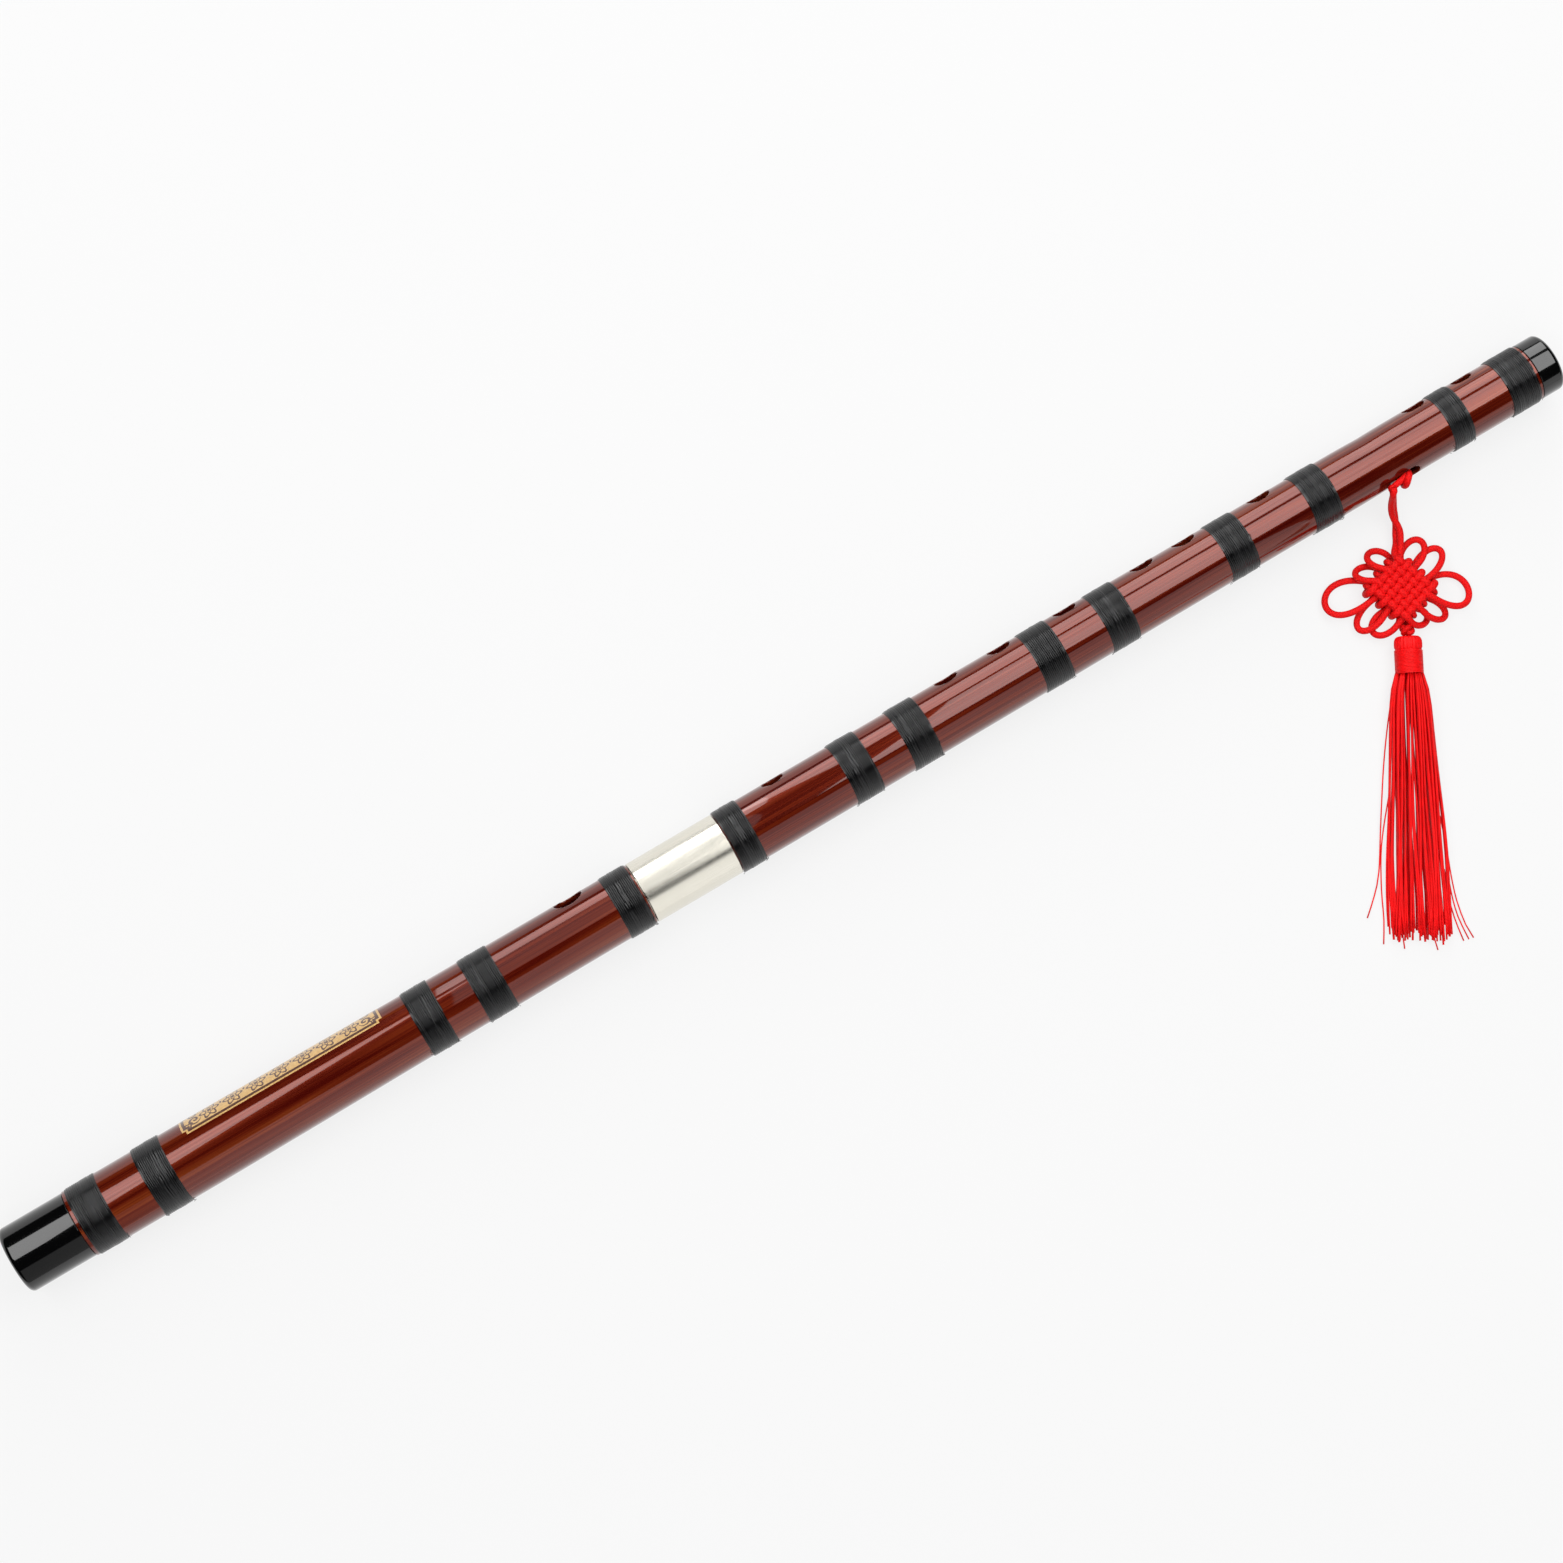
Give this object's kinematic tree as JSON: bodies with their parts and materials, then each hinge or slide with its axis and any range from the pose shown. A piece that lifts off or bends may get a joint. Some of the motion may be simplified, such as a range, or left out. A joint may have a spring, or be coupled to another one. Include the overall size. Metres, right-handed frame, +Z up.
{
  "type": "transverse flute",
  "caption": "Two-section side-blown bamboo flute with thread bindings, a metal joint, end caps and a knotted red cord with a tassel, lying on its side.",
  "frame": {"origin": "the surface that the flute lies on, below the middle of the flute's length", "axes": "+X along the flute from its head end to its foot end, +Z up from the surface, +Y the side that the finger holes face"},
  "size_m": [0.6506, 0.1802, 0.0268],
  "materials": {
    "lacquered_bamboo": "high-gloss red-brown lacquer over bamboo grain",
    "black_horn": "polished black",
    "cork": "matte cork",
    "nickel_silver": "brushed, warm white metal",
    "black_thread": "lacquered wound thread",
    "red_cord": "braided satin cord",
    "red_silk": "glossy thread"
  },
  "bodies": {
    "foot_section": {"foot_tube": "lacquered_bamboo", "foot_cap": "black_horn", "joint_sleeve": "nickel_silver", "binding_06": "black_thread", "binding_07": "black_thread", "binding_08": "black_thread", "binding_09": "black_thread", "binding_10": "black_thread", "binding_11": "black_thread", "binding_12": "black_thread", "binding_13": "black_thread", "binding_14": "black_thread", "tassel_hitch": "red_cord"},
    "tenon": {"joint_tenon": "nickel_silver"},
    "head_section": {"head_tube": "lacquered_bamboo", "head_cap": "black_horn", "head_cork": "cork", "binding_01": "black_thread", "binding_02": "black_thread", "binding_03": "black_thread", "binding_04": "black_thread", "binding_05": "black_thread"},
    "hanging_cord": {"tassel_cord": "red_cord", "button_knot": "red_cord"},
    "tassel": {"tassel_head": "red_silk", "tassel_band": "red_silk", "tassel_skirt": "red_silk"}
  },
  "joints": [
    {"name": "joint_pull", "type": "slide", "parent": "foot_section", "child": "tenon", "axis": [-1, 0, 0], "range_m": [0, 0.02]},
    {"name": "head_turn", "type": "hinge", "parent": "tenon", "child": "head_section", "pos_m": [-0.0678, 0, 0.0134], "axis": [1, 0, 0], "continuous": true},
    {"name": "tassel_swing", "type": "hinge", "parent": "foot_section", "child": "hanging_cord", "pos_m": [0.2553, -0.0106, 0.01811], "axis": [-1, 0, 0], "range_deg": [0, 100]},
    {"name": "skirt_swing", "type": "hinge", "parent": "hanging_cord", "child": "tassel", "pos_m": [0.22921, -0.05857, 0.0048], "axis": [0, 0, 1], "range_deg": [-16, 16]}
  ]
}
